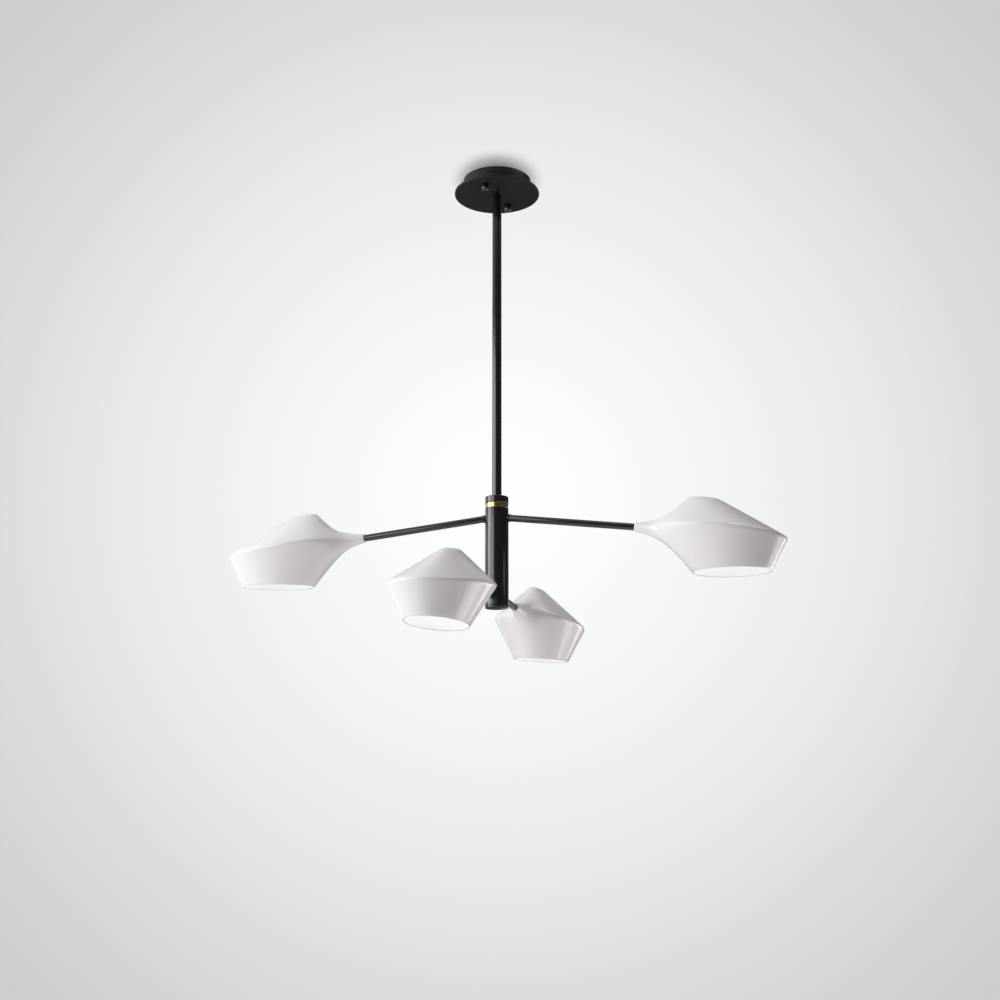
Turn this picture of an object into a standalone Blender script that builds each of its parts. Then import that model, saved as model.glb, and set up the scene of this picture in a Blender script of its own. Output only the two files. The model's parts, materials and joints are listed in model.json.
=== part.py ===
"""Multi arm chandelier: a ceiling canopy, a downrod, a hub and four arms with skewed shades.

Lengths are in millimetres and become metres where the meshes are made.
The ceiling face is z = 0 and everything hangs below it.
The two long arms lie along X. Each arm has its own frame: X runs outwards along the arm,
Z points up, and the origin is the end of the arm, where the shade's neck begins.
"""

import math

import bmesh
import bpy
from mathutils import Matrix, Vector

MM = 0.001
GAP = 0.3                      # clearance kept between pieces that touch

# Canopy
PLATE_RADIUS = 60.0
PLATE_THICKNESS = 3.0
PLATE_BOTTOM = -21.2
PLATE_EDGE = 0.8               # bevel of the plate's rim
DRUM_RADIUS = 48.0
DRUM_WALL = 1.2
DRUM_FLANGE = 6.0
DRUM_EDGE = 0.5
BRACKET_LENGTH = 88.0
BRACKET_WIDTH = 18.0
BRACKET_THICKNESS = 2.0
BRACKET_TURN = 79.0            # degrees about Z
SCREW_SLOT_OFFSET = 21.0
SCREW_SLOT_LENGTH = 8.0
SCREW_SLOT_WIDTH = 4.5
STUD_OFFSET = 37.0             # from the middle of the bracket
STUD_RADIUS = 2.4
STUD_SHOULDER_RADIUS = 4.0
STUD_SHOULDER_THICKNESS = 1.5
STUD_REACH = 5.0               # below the plate, inside the cap nut
CAP_NUT_RADIUS = 5.5
CAP_NUT_HEIGHT = 9.5
CAP_NUT_SKIRT = 4.5            # straight part above the dome
CAP_NUT_EDGE = 0.6
DOME_STEPS = 4
TERMINAL_LENGTH = 14.0
TERMINAL_WIDTH = 14.0
TERMINAL_HEIGHT = 9.0
TERMINAL_OFFSET = 20.8
TERMINAL_EDGE = 0.8
EARTH_SCREW_OFFSET = -14.0
EARTH_SCREW_RADIUS = 3.4
EARTH_SCREW_CROWN = 2.2
EARTH_SCREW_HEIGHT = 2.4

# Downrod and hub
ROD_RADIUS = 6.4
ROD_BORE = 4.6
ROD_TOP = -8.5
WASHER_RADIUS = 11.0
WASHER_THICKNESS = 1.5
HANGING_NUT_CORNER = 9.8
HANGING_NUT_HEIGHT = 4.5
HUB_TOP = -463.3
HUB_LENGTH = 151.0
HUB_RADIUS = 15.7
HUB_WALL = 1.5
HUB_EDGE = 0.8                 # bevel at the hub's two ends
HUB_CAP_HEIGHT = 8.8
BRASS_HEIGHT = 7.4
BRASS_RADIUS = 15.4
SPIGOT_LENGTH = 3.8            # reach of the hub cap into the hub tube
ROD_REACH = 25.0               # reach of the rod below the top of the hub
HUB_NUT_CORNER = 8.8
HUB_NUT_HEIGHT = 3.8
HUB_BOTTOM_THICKNESS = 2.5
PLUG_LENGTH = 3.0              # reach of the bottom cap into the hub tube
CAP_SCREW_HOLE = 2.0
CAP_SCREW_HEAD = 3.2
CAP_SCREW_DEPTH = 1.6
SPLICE_DROP = 1.0              # below the end of the rod
SPLICE_LENGTH = 16.0
SPLICE_RADIUS = 4.2

# Arms
ARM_RADIUS = 4.6
ARM_BORE = 3.5
ARM_ROOT = 8.8                 # from the hub's axis to the inner end of the tube
UPPER_ARM_DROP = 27.4          # from the top of the hub to the axis of the long arms
LOWER_ARM_RISE = 17.4          # from the bottom of the hub to the axis of the short arms
LONG_ARM = 188.0               # from the hub's axis to the shade's neck, along the arm
SHORT_ARM = 70.0
# name, turn about Z, slope below level, length, turn of the shade on its nipple (degrees)
ARMS = (
    ("right", 0.0, 7.3, LONG_ARM, 0.0),
    ("left", 180.9, 6.0, LONG_ARM, -3.5),
    ("front", -96.0, 4.4, SHORT_ARM, -2.0),
    ("back", 84.8, 4.4, SHORT_ARM, 4.0),
)
UPPER_ARMS = ("right", "left")
ARM_HOLE_DEPTH = 12.0
COLLAR_RADIUS = 5.6
COLLAR_START = 1.0             # from the hub's face
COLLAR_THICKNESS = 1.5
COLLAR_EDGE = 0.3
LOCK_NUT_CORNER = 7.2
LOCK_NUT_HEIGHT = 3.0

# Nipple, clamping nut, lampholder and bulb, along the arm's own X
NIPPLE_RADIUS = 3.1
NIPPLE_BORE = 2.0
NIPPLE_START = -18.0
NIPPLE_END = 27.0
CONE_NUT_START = 14.0
CONE_NUT_END = 21.0
CONE_NUT_NARROW = 5.4
CONE_NUT_WIDE = 7.2
HOLDER_START = 25.5
HOLDER_END = 48.0
HOLDER_RADIUS = 7.6
HOLDER_SHOULDER = 2.0
HOLDER_EDGE = 0.6
SOCKET_DEPTH = 8.0
SOCKET_RADIUS = 3.6
BULB_START = 42.0
BULB_BASE_RADIUS = 3.3
BULB_NECK_RADIUS = 4.6
BULB_SHOULDER = 4.0
BULB_RADIUS = 6.8
BULB_ROUNDING = 5.0
BULB_END = 92.0

# Wiring
WIRE_RADIUS = 1.1
CABLE_RADIUS = 2.4
WIRE_ASIDE = 2.2               # from the hub's axis, towards the wire's own arm
WIRE_CLIMB = (24.0, 13.0)      # heights over the short arm's axis where the wire starts to bend
WIRE_IN_ARM = (9.0, 20.0)      # from the hub's axis, on the arm's own axis
CABLE_ROUTE = ((6.0, -4.8), (1.2, -6.6), (0.0, -14.0))

# Shade: oval loops from the flat top to the open rim, in the arm's frame.
# centre along X, half length, half width, height, rise of the loop per unit of X
SHADE_WALL = 1.5
SHADE_SIDES = 16
TOP_LOOP = (85.8, 19.5, 9.5, 44.6, 0.0)
BELT_LOOP = (112.6, 84.2, 63.0, 0.0, 0.0)
RIM_LOOP = (131.0, 49.5, 37.7, -49.4, 0.125)
UPPER_BLEND = 0.42             # where the loop between the belt and the top sits
LOWER_BLEND = 0.42             # where the loop between the belt and the rim sits
NECK_SIDES = 8
NECK_RINGS = ((28.0, 11.6), (14.0, 8.3), (0.0, 5.8))
TOP_CREASE = 0.5
BELT_CREASE = 0.55
FADING_CREASE = 0.35           # of the belt, next to the neck
SHADE_LEVELS = 1

BLACK = ("black_satin", (0.018, 0.018, 0.02), 0.38, 0.0)
WHITE = ("white_gloss", (0.86, 0.85, 0.84), 0.12, 0.0)
BRASS = ("brass", (0.62, 0.45, 0.17), 0.28, 1.0)
ZINC = ("zinc_steel", (0.62, 0.62, 0.6), 0.35, 1.0)
CERAMIC = ("holder_ceramic", (0.88, 0.86, 0.8), 0.4, 0.0)
FROSTED = ("bulb_frosted", (0.97, 0.95, 0.9), 0.3, 0.0)
PLASTIC = ("terminal_plastic", (0.8, 0.8, 0.78), 0.5, 0.0)
CABLE = ("cable_pvc", (0.75, 0.75, 0.73), 0.5, 0.0)


def clear_objects():
    """Remove the objects of the open file."""
    for old in list(bpy.data.objects):
        bpy.data.objects.remove(old, do_unlink=True)


def material(spec):
    """Return the named plain material, made once."""
    name, colour, roughness, metallic = spec
    found = bpy.data.materials.get(name)
    if found:
        return found
    made = bpy.data.materials.new(name)
    made.use_nodes = True
    shader = made.node_tree.nodes["Principled BSDF"]
    shader.inputs["Base Color"].default_value = (*colour, 1.0)
    shader.inputs["Roughness"].default_value = roughness
    shader.inputs["Metallic"].default_value = metallic
    made.diffuse_color = (*colour, 1.0)
    return made


def add_object(name, mesh_data, spec, parent=None):
    """Link one named object with its material under its parent."""
    mesh_data.materials.append(material(spec))
    made = bpy.data.objects.new(name, mesh_data)
    bpy.context.scene.collection.objects.link(made)
    made.parent = parent
    return made


def add_mesh(name, shape, spec, parent=None, smooth=True):
    """Turn a bmesh into an object, faces outwards."""
    bmesh.ops.recalc_face_normals(shape, faces=shape.faces[:])
    for face in shape.faces:
        face.smooth = smooth
    data = bpy.data.meshes.new(name)
    shape.to_mesh(data)
    shape.free()
    return add_object(name, data, spec, parent)


def add_empty(name, parent=None):
    """Add an empty that carries a group of pieces."""
    made = bpy.data.objects.new(name, None)
    bpy.context.scene.collection.objects.link(made)
    made.parent = parent
    return made


def turned(name, outline, axis, spec, sides=32, parent=None):
    """Spin an outline of (along, radius) points about the X or Z axis.

    An outline that starts and ends on the axis makes a solid piece; any other outline is
    closed on itself and makes a ring.
    """
    shape = bmesh.new()
    if axis == "X":
        points = [Vector((along, 0.0, radius)) * MM for along, radius in outline]
        spin_axis = (1.0, 0.0, 0.0)
    else:
        points = [Vector((radius, 0.0, along)) * MM for along, radius in outline]
        spin_axis = (0.0, 0.0, 1.0)
    verts = [shape.verts.new(point) for point in points]
    for first, second in zip(verts, verts[1:]):
        shape.edges.new((first, second))
    on_axis = outline[0][1] == 0.0 and outline[-1][1] == 0.0
    if not on_axis:
        shape.edges.new((verts[-1], verts[0]))
    bmesh.ops.spin(
        shape, geom=shape.verts[:] + shape.edges[:], cent=(0.0, 0.0, 0.0), axis=spin_axis,
        dvec=(0.0, 0.0, 0.0), angle=math.tau, steps=sides, use_merge=True, use_duplicate=False,
    )
    bmesh.ops.remove_doubles(shape, verts=shape.verts[:], dist=0.001 * MM)
    return add_mesh(name, shape, spec, parent)


def ring(name, low, high, inner, outer, axis, spec, sides=32, parent=None, ease=0.4):
    """Make a plain tube or washer with eased outer edges."""
    outline = (
        (low, inner), (low, outer - ease), (low + ease, outer),
        (high - ease, outer), (high, outer - ease), (high, inner),
    )
    return turned(name, outline, axis, spec, sides, parent)


def rod(name, low, high, radius, axis, spec, sides=24, parent=None, ease=0.4):
    """Make a solid cylinder with eased edges."""
    outline = (
        (low, 0.0), (low, radius - ease), (low + ease, radius),
        (high - ease, radius), (high, radius - ease), (high, 0.0),
    )
    return turned(name, outline, axis, spec, sides, parent)


def hex_nut(name, low, high, inner, corner, axis, spec, parent=None):
    """Make a hexagon nut: six corners outside, a round hole inside."""
    shape = bmesh.new()
    loops = []
    sides = 24
    flat = corner * math.cos(math.pi / 6.0)
    for along, radius_of in (
        (low, lambda angle: inner),
        (low, lambda angle: hexagon_radius(angle, flat)),
        (high, lambda angle: hexagon_radius(angle, flat)),
        (high, lambda angle: inner),
    ):
        loop = []
        for step in range(sides):
            angle = math.tau * step / sides
            across = radius_of(angle)
            first, second = across * math.cos(angle), across * math.sin(angle)
            place = (along, first, second) if axis == "X" else (first, second, along)
            loop.append(shape.verts.new(Vector(place) * MM))
        loops.append(loop)
    for near, far in zip(loops, loops[1:] + loops[:1]):
        for step in range(sides):
            after = (step + 1) % sides
            shape.faces.new((near[step], near[after], far[after], far[step]))
    return add_mesh(name, shape, spec, parent, smooth=False)


def hexagon_radius(angle, flat):
    """Distance from the middle to a hexagon's side in one direction."""
    sector = math.pi / 3.0
    offset = (angle + sector / 2.0) % sector - sector / 2.0
    return flat / math.cos(offset)


def box(name, size, centre, spec, parent=None, ease=0.5):
    """Make a block with eased edges."""
    shape = bmesh.new()
    bmesh.ops.create_cube(shape, size=1.0)
    bmesh.ops.scale(shape, vec=Vector(size) * MM, verts=shape.verts[:])
    bmesh.ops.translate(shape, vec=Vector(centre) * MM, verts=shape.verts[:])
    if ease:
        bmesh.ops.bevel(
            shape, geom=shape.edges[:], offset=ease * MM, segments=1, affect="EDGES",
            profile=0.5, clamp_overlap=True,
        )
    return add_mesh(name, shape, spec, parent, smooth=False)


def cut(target, cutter):
    """Subtract a cutter from a piece."""
    modifier = target.modifiers.new("cut_" + cutter.name, "BOOLEAN")
    modifier.operation = "DIFFERENCE"
    modifier.solver = "EXACT"
    modifier.object = cutter


def bend_tube(name, points, radius, spec, parent=None):
    """Make a wire along a smooth curve through a few points, with closed ends."""
    data = bpy.data.curves.new(name, "CURVE")
    data.dimensions = "3D"
    data.resolution_u = 6
    data.bevel_depth = radius * MM
    data.bevel_resolution = 2
    data.use_fill_caps = True
    spline = data.splines.new("BEZIER")
    spline.bezier_points.add(len(points) - 1)
    for knot, point in zip(spline.bezier_points, points):
        knot.co = Vector(point) * MM
        knot.handle_left_type = "AUTO"
        knot.handle_right_type = "AUTO"
    return add_object(name, data, spec, parent)


def add_cutter(name, shape):
    """Link a hidden tool for a Boolean cut."""
    bmesh.ops.recalc_face_normals(shape, faces=shape.faces[:])
    data = bpy.data.meshes.new(name)
    shape.to_mesh(data)
    shape.free()
    made = bpy.data.objects.new(name, data)
    bpy.context.scene.collection.objects.link(made)
    made.hide_render = True
    made.display_type = "WIRE"
    return made


def drill(name, bars):
    """Make one cutter of separate round bars: (centre, direction, radius, length) each."""
    shape = bmesh.new()
    for centre, direction, radius, length in bars:
        turn = Vector((0.0, 0.0, 1.0)).rotation_difference(Vector(direction)).to_matrix().to_4x4()
        bmesh.ops.create_cone(
            shape, cap_ends=True, segments=24, radius1=radius * MM, radius2=radius * MM,
            depth=length * MM, matrix=Matrix.Translation(Vector(centre) * MM) @ turn,
        )
    return add_cutter(name, shape)


# Canopy ------------------------------------------------------------------------------------


def add_bracket(parent):
    """Flat steel bar on the ceiling, with two slots for the ceiling screws."""
    middle = -BRACKET_THICKNESS / 2.0
    bar = box(
        "ceiling_bracket", (BRACKET_LENGTH, BRACKET_WIDTH, BRACKET_THICKNESS),
        (0.0, 0.0, middle), ZINC, parent, ease=0.0,
    )
    slots = bmesh.new()
    for side in (-1.0, 1.0):
        size = Vector((SCREW_SLOT_LENGTH, SCREW_SLOT_WIDTH, 3.0 * BRACKET_THICKNESS)) * MM
        place = Vector((side * SCREW_SLOT_OFFSET, 0.0, middle)) * MM
        bmesh.ops.create_cube(
            slots, size=1.0, matrix=Matrix.Translation(place) @ Matrix.Diagonal(size).to_4x4(),
        )
    slot_cutter = add_cutter("bracket_slots", slots)
    slot_cutter.parent = parent
    cut(bar, slot_cutter)
    return bar


def add_studs_and_cap_nuts(parent):
    """Threaded studs under the bracket and the domed nuts that carry the canopy plate."""
    top = -BRACKET_THICKNESS - GAP
    shoulder_end = top - STUD_SHOULDER_THICKNESS
    stud_end = PLATE_BOTTOM - STUD_REACH
    nut_top = PLATE_BOTTOM - GAP
    bore = STUD_RADIUS + GAP
    bore_end = stud_end - 2.0 * GAP
    dome_start = nut_top - CAP_NUT_SKIRT
    dome_height = CAP_NUT_HEIGHT - CAP_NUT_SKIRT
    dome = []
    for step in range(DOME_STEPS):
        angle = math.radians(90.0 * step / DOME_STEPS)
        low = dome_start - dome_height * math.sin(angle)
        dome.append((low, CAP_NUT_RADIUS * math.cos(angle)))
    for number, side in enumerate((-1.0, 1.0), start=1):
        stud = turned(
            f"bracket_stud_{number}",
            (
                (top, 0.0), (top, STUD_SHOULDER_RADIUS), (shoulder_end, STUD_SHOULDER_RADIUS),
                (shoulder_end, STUD_RADIUS), (stud_end, STUD_RADIUS), (stud_end, 0.0),
            ),
            "Z", ZINC, 12, parent,
        )
        stud.location.x = side * STUD_OFFSET * MM
        nut = turned(
            f"cap_nut_{number}",
            [
                (bore_end, 0.0), (bore_end, bore), (nut_top, bore),
                (nut_top, CAP_NUT_RADIUS - CAP_NUT_EDGE),
                (nut_top - CAP_NUT_EDGE, CAP_NUT_RADIUS),
            ] + dome + [(nut_top - CAP_NUT_HEIGHT, 0.0)],
            "Z", BLACK, 16, parent,
        )
        nut.location.x = side * STUD_OFFSET * MM


def add_terminal_block(parent):
    """Mains terminals and the earth screw, under the bracket."""
    top = -BRACKET_THICKNESS - GAP
    box(
        "terminal_block", (TERMINAL_LENGTH, TERMINAL_WIDTH, TERMINAL_HEIGHT),
        (TERMINAL_OFFSET, 0.0, top - TERMINAL_HEIGHT / 2.0), PLASTIC, parent, TERMINAL_EDGE,
    )
    low = top - EARTH_SCREW_HEIGHT
    flank = top - EARTH_SCREW_HEIGHT * 2.0 / 3.0
    screw = turned(
        "earth_screw",
        (
            (top, 0.0), (top, EARTH_SCREW_RADIUS), (flank, EARTH_SCREW_RADIUS),
            (low, EARTH_SCREW_CROWN), (low, 0.0),
        ),
        "Z", BRASS, 12, parent,
    )
    screw.location.x = EARTH_SCREW_OFFSET * MM


def add_canopy():
    """Drum and plate, with everything fixed to the ceiling bracket."""
    drum_bottom = PLATE_BOTTOM + PLATE_THICKNESS + GAP
    turned(
        "canopy_drum",
        (
            (0.0, DRUM_RADIUS - DRUM_WALL), (0.0, DRUM_RADIUS),
            (drum_bottom + DRUM_EDGE, DRUM_RADIUS), (drum_bottom, DRUM_RADIUS - DRUM_EDGE),
            (drum_bottom, DRUM_RADIUS - DRUM_FLANGE),
            (drum_bottom + DRUM_WALL, DRUM_RADIUS - DRUM_FLANGE),
            (drum_bottom + DRUM_WALL, DRUM_RADIUS - DRUM_WALL),
        ),
        "Z", BLACK, 40,
    )
    plate_top = PLATE_BOTTOM + PLATE_THICKNESS
    plate = turned(
        "canopy_plate",
        (
            (plate_top, ROD_RADIUS + GAP), (plate_top, PLATE_RADIUS - PLATE_EDGE),
            (plate_top - PLATE_EDGE, PLATE_RADIUS), (PLATE_BOTTOM + PLATE_EDGE, PLATE_RADIUS),
            (PLATE_BOTTOM, PLATE_RADIUS - PLATE_EDGE), (PLATE_BOTTOM, ROD_RADIUS + GAP),
        ),
        "Z", BLACK, 48,
    )
    turn = math.radians(BRACKET_TURN)
    reach = Vector((math.cos(turn), math.sin(turn), 0.0)) * STUD_OFFSET
    middle = Vector((0.0, 0.0, PLATE_BOTTOM + PLATE_THICKNESS / 2.0))
    stud_hole = STUD_RADIUS + GAP
    holes = drill("plate_stud_holes", [
        (middle + reach, (0.0, 0.0, 1.0), stud_hole, 3.0 * PLATE_THICKNESS),
        (middle - reach, (0.0, 0.0, 1.0), stud_hole, 3.0 * PLATE_THICKNESS),
    ])
    cut(plate, holes)
    bracket_frame = add_empty("bracket_frame")
    bracket_frame.rotation_euler.z = turn
    add_bracket(bracket_frame)
    add_studs_and_cap_nuts(bracket_frame)
    add_terminal_block(bracket_frame)
    add_mains_cable(bracket_frame)


def add_mains_cable(parent):
    """Cable from the terminal block, over the rod's mouth and down the rod to the splice."""
    block_face = TERMINAL_OFFSET - TERMINAL_LENGTH / 2.0 - GAP
    start = (block_face, 0.0, -BRACKET_THICKNESS - 2.0 * GAP - CABLE_RADIUS)
    bends = [(across, 0.0, height) for across, height in CABLE_ROUTE]
    end = (0.0, 0.0, HUB_TOP - ROD_REACH - SPLICE_DROP + GAP)
    bend_tube("mains_cable", [start] + bends + [end], CABLE_RADIUS, CABLE, parent)


# Downrod and hub ---------------------------------------------------------------------------


def add_downrod(parent):
    """The rod with its hanging nut above the plate and its lock nut inside the hub."""
    rod_end = HUB_TOP - ROD_REACH
    ring("downrod", rod_end, ROD_TOP, ROD_BORE, ROD_RADIUS, "Z", BLACK, 24, parent)
    plate_top = PLATE_BOTTOM + PLATE_THICKNESS
    washer_low = plate_top + GAP
    washer_high = washer_low + WASHER_THICKNESS
    around_rod = ROD_RADIUS + GAP
    ring("hanging_washer", washer_low, washer_high, around_rod, WASHER_RADIUS, "Z", ZINC, 24,
         parent, 0.2)
    nut_low = washer_high + GAP
    hex_nut("hanging_nut", nut_low, nut_low + HANGING_NUT_HEIGHT, around_rod,
            HANGING_NUT_CORNER, "Z", ZINC, parent)
    nut_high = HUB_TOP - HUB_CAP_HEIGHT - BRASS_HEIGHT - SPIGOT_LENGTH - GAP
    hex_nut("hub_lock_nut", nut_high - HUB_NUT_HEIGHT, nut_high, around_rod, HUB_NUT_CORNER,
            "Z", ZINC, parent)


def add_hub(parent, arm_lines):
    """Cap, brass ring, tube and bottom cap, with a hole in the tube for each arm."""
    cap_bottom = HUB_TOP - HUB_CAP_HEIGHT
    brass_bottom = cap_bottom - BRASS_HEIGHT
    spigot_end = brass_bottom - SPIGOT_LENGTH
    hub_bottom = HUB_TOP - HUB_LENGTH
    bore = HUB_RADIUS - HUB_WALL
    around_rod = ROD_RADIUS + GAP
    turned(
        "hub_cap",
        (
            (HUB_TOP, around_rod), (HUB_TOP, HUB_RADIUS - HUB_EDGE),
            (HUB_TOP - HUB_EDGE, HUB_RADIUS), (cap_bottom + GAP, HUB_RADIUS),
            (cap_bottom, HUB_RADIUS - GAP), (cap_bottom, bore - GAP),
            (spigot_end, bore - GAP), (spigot_end, around_rod),
        ),
        "Z", BLACK, 32, parent,
    )
    ring("brass_ring", brass_bottom + GAP, cap_bottom - GAP, bore, BRASS_RADIUS, "Z", BRASS,
         32, parent, 0.2)
    tube_end = hub_bottom + HUB_BOTTOM_THICKNESS + GAP
    tube = ring("hub_tube", tube_end, brass_bottom, bore, HUB_RADIUS, "Z", BLACK, 32, parent, 0.3)
    hole = ARM_RADIUS + GAP
    holes = drill("hub_arm_holes", [
        (root + line * HUB_RADIUS, line, hole, ARM_HOLE_DEPTH) for root, line in arm_lines
    ])
    holes.parent = parent
    cut(tube, holes)
    plug = bore - GAP
    plug_top = tube_end + PLUG_LENGTH
    turned(
        "hub_bottom_cap",
        (
            (plug_top, CAP_SCREW_HOLE), (plug_top, plug), (tube_end - GAP, plug),
            (tube_end - GAP, HUB_RADIUS), (hub_bottom + HUB_EDGE, HUB_RADIUS),
            (hub_bottom, HUB_RADIUS - HUB_EDGE), (hub_bottom, CAP_SCREW_HOLE),
        ),
        "Z", BLACK, 32, parent,
    )
    head_low = hub_bottom - CAP_SCREW_DEPTH
    head_high = hub_bottom - GAP
    shank = CAP_SCREW_HOLE - GAP
    shank_end = plug_top + CAP_SCREW_HOLE
    turned(
        "bottom_cap_screw",
        (
            (head_low, 0.0), (head_low, CAP_SCREW_HOLE), (head_high, CAP_SCREW_HEAD),
            (head_high, shank), (shank_end, shank), (shank_end, 0.0),
        ),
        "Z", BLACK, 12, parent,
    )
    splice_top = HUB_TOP - ROD_REACH - SPLICE_DROP
    rod("wire_splice", splice_top - SPLICE_LENGTH, splice_top, SPLICE_RADIUS, "Z", PLASTIC, 12,
        parent)


# Arms --------------------------------------------------------------------------------------


def arm_axis_height(name):
    """Height of an arm's axis where it crosses the hub's axis."""
    if name in UPPER_ARMS:
        return HUB_TOP - UPPER_ARM_DROP
    return HUB_TOP - HUB_LENGTH + LOWER_ARM_RISE


def arm_matrix(turn, slope):
    """Rotation of an arm's frame: X outwards and downhill, Z up."""
    around = Matrix.Rotation(math.radians(turn), 4, "Z")
    downhill = Matrix.Rotation(math.radians(slope), 4, "Y")
    return around @ downhill


def add_arm(name, turn, slope, length, shade_turn, parent):
    """One arm from its lock nut in the hub to its shade."""
    rotation = arm_matrix(turn, slope)
    outwards = rotation @ Vector((1.0, 0.0, 0.0))
    root = Vector((0.0, 0.0, arm_axis_height(name)))
    frame = add_empty(f"arm_frame_{name}", parent)
    frame.matrix_local = Matrix.Translation((root + outwards * length) * MM) @ rotation
    around_arm = ARM_RADIUS + GAP
    ring(f"arm_{name}", ARM_ROOT - length, -GAP, ARM_BORE, ARM_RADIUS, "X", BLACK, 16, frame,
         0.3)
    collar = HUB_RADIUS - length + COLLAR_START
    ring(f"arm_collar_{name}", collar, collar + COLLAR_THICKNESS, around_arm, COLLAR_RADIUS,
         "X", BLACK, 16, frame, COLLAR_EDGE)
    hub_bore = HUB_RADIUS - HUB_WALL
    nut_end = math.sqrt(hub_bore ** 2 - LOCK_NUT_CORNER ** 2) - length - GAP
    hex_nut(f"arm_lock_nut_{name}", nut_end - LOCK_NUT_HEIGHT, nut_end, around_arm,
            LOCK_NUT_CORNER, "X", ZINC, frame)
    add_lamp(name, frame)
    add_wire(name, length, root, rotation, frame)
    shade = add_shade(f"shade_{name}", frame)
    shade.rotation_euler.x = math.radians(shade_turn)


def add_lamp(name, frame):
    """Nipple, clamping nut, lampholder and bulb on the end of an arm."""
    ring(f"nipple_{name}", NIPPLE_START, NIPPLE_END, NIPPLE_BORE, NIPPLE_RADIUS, "X", ZINC,
         12, frame, 0.2)
    around_nipple = NIPPLE_RADIUS + GAP
    turned(
        f"cone_nut_{name}",
        (
            (CONE_NUT_START, around_nipple), (CONE_NUT_START, CONE_NUT_NARROW),
            (CONE_NUT_END, CONE_NUT_WIDE), (CONE_NUT_END, around_nipple),
        ),
        "X", ZINC, 16, frame,
    )
    around_wire = WIRE_RADIUS + GAP
    socket_floor = HOLDER_END - SOCKET_DEPTH
    shoulder = HOLDER_START + HOLDER_SHOULDER
    turned(
        f"lampholder_{name}",
        (
            (HOLDER_START, around_nipple), (HOLDER_START, HOLDER_RADIUS - HOLDER_SHOULDER / 2.0),
            (shoulder, HOLDER_RADIUS), (HOLDER_END - HOLDER_EDGE, HOLDER_RADIUS),
            (HOLDER_END, HOLDER_RADIUS - HOLDER_EDGE), (HOLDER_END, SOCKET_RADIUS),
            (socket_floor, SOCKET_RADIUS), (socket_floor, around_wire),
            (NIPPLE_END + GAP, around_wire), (NIPPLE_END + GAP, around_nipple),
        ),
        "X", CERAMIC, 16, frame,
    )
    neck = HOLDER_END + GAP
    turned(
        f"bulb_{name}",
        (
            (BULB_START, 0.0), (BULB_START, BULB_BASE_RADIUS), (neck, BULB_BASE_RADIUS),
            (neck, BULB_NECK_RADIUS), (HOLDER_END + BULB_SHOULDER, BULB_RADIUS),
            (BULB_END - BULB_ROUNDING, BULB_RADIUS),
            (BULB_END - 0.3 * BULB_ROUNDING, 0.7 * BULB_RADIUS), (BULB_END, 0.0),
        ),
        "X", FROSTED, 16, frame,
    )


def add_wire(name, length, root, rotation, frame):
    """Wire from the splice in the hub, through the arm, to the lampholder."""
    end = HOLDER_END - SOCKET_DEPTH + GAP
    if name in UPPER_ARMS:
        start = SPLICE_RADIUS + GAP - length
        rod(f"wire_{name}", start, end, WIRE_RADIUS, "X", CABLE, 8, frame, 0.2)
        return
    splice_end = HUB_TOP - ROD_REACH - SPLICE_DROP - SPLICE_LENGTH - GAP
    heights = [splice_end, (splice_end + root.z) / 2.0]
    heights += [root.z + rise for rise in WIRE_CLIMB]
    aside = rotation @ Vector((WIRE_ASIDE, 0.0, 0.0))
    arm_end = Matrix.Translation(root + rotation @ Vector((length, 0.0, 0.0))) @ rotation
    to_arm_frame = arm_end.inverted()
    route = [to_arm_frame @ Vector((aside.x, aside.y, height)) for height in heights]
    route += [Vector((along - length, 0.0, 0.0)) for along in WIRE_IN_ARM]
    route.append(Vector((end, 0.0, 0.0)))
    bend_tube(f"wire_{name}", route, WIRE_RADIUS, CABLE, frame)


# Shade -------------------------------------------------------------------------------------


def blend(first, second, share):
    """Mix two loops number by number."""
    return tuple(a + (b - a) * share for a, b in zip(first, second))


def oval_loop(shape, loop):
    """Add one oval ring of vertices, widened so that the smoothed ring keeps its size."""
    centre, half_length, half_width, height, rise = loop
    step = math.tau / SHADE_SIDES
    widen = 3.0 / (2.0 + math.cos(step))
    verts = []
    for number in range(SHADE_SIDES):
        along = half_length * widen * math.cos(step * number)
        across = half_width * widen * math.sin(step * number)
        verts.append(shape.verts.new(Vector((centre + along, across, height + along * rise)) * MM))
    return verts


def neck_ring(shape, along, radius):
    """Add one round ring of the neck, widened like the ovals."""
    step = math.tau / NECK_SIDES
    widen = 3.0 / (2.0 + math.cos(step))
    verts = []
    for number in range(NECK_SIDES):
        angle = step * number
        across = radius * widen * math.cos(angle)
        rise = radius * widen * math.sin(angle)
        verts.append(shape.verts.new(Vector((along, across, rise)) * MM))
    return verts


def bridge(shape, first, second):
    """Join two rings of vertices with quads."""
    count = len(first)
    for number in range(count):
        after = (number + 1) % count
        shape.faces.new((first[number], first[after], second[after], second[number]))


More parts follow.
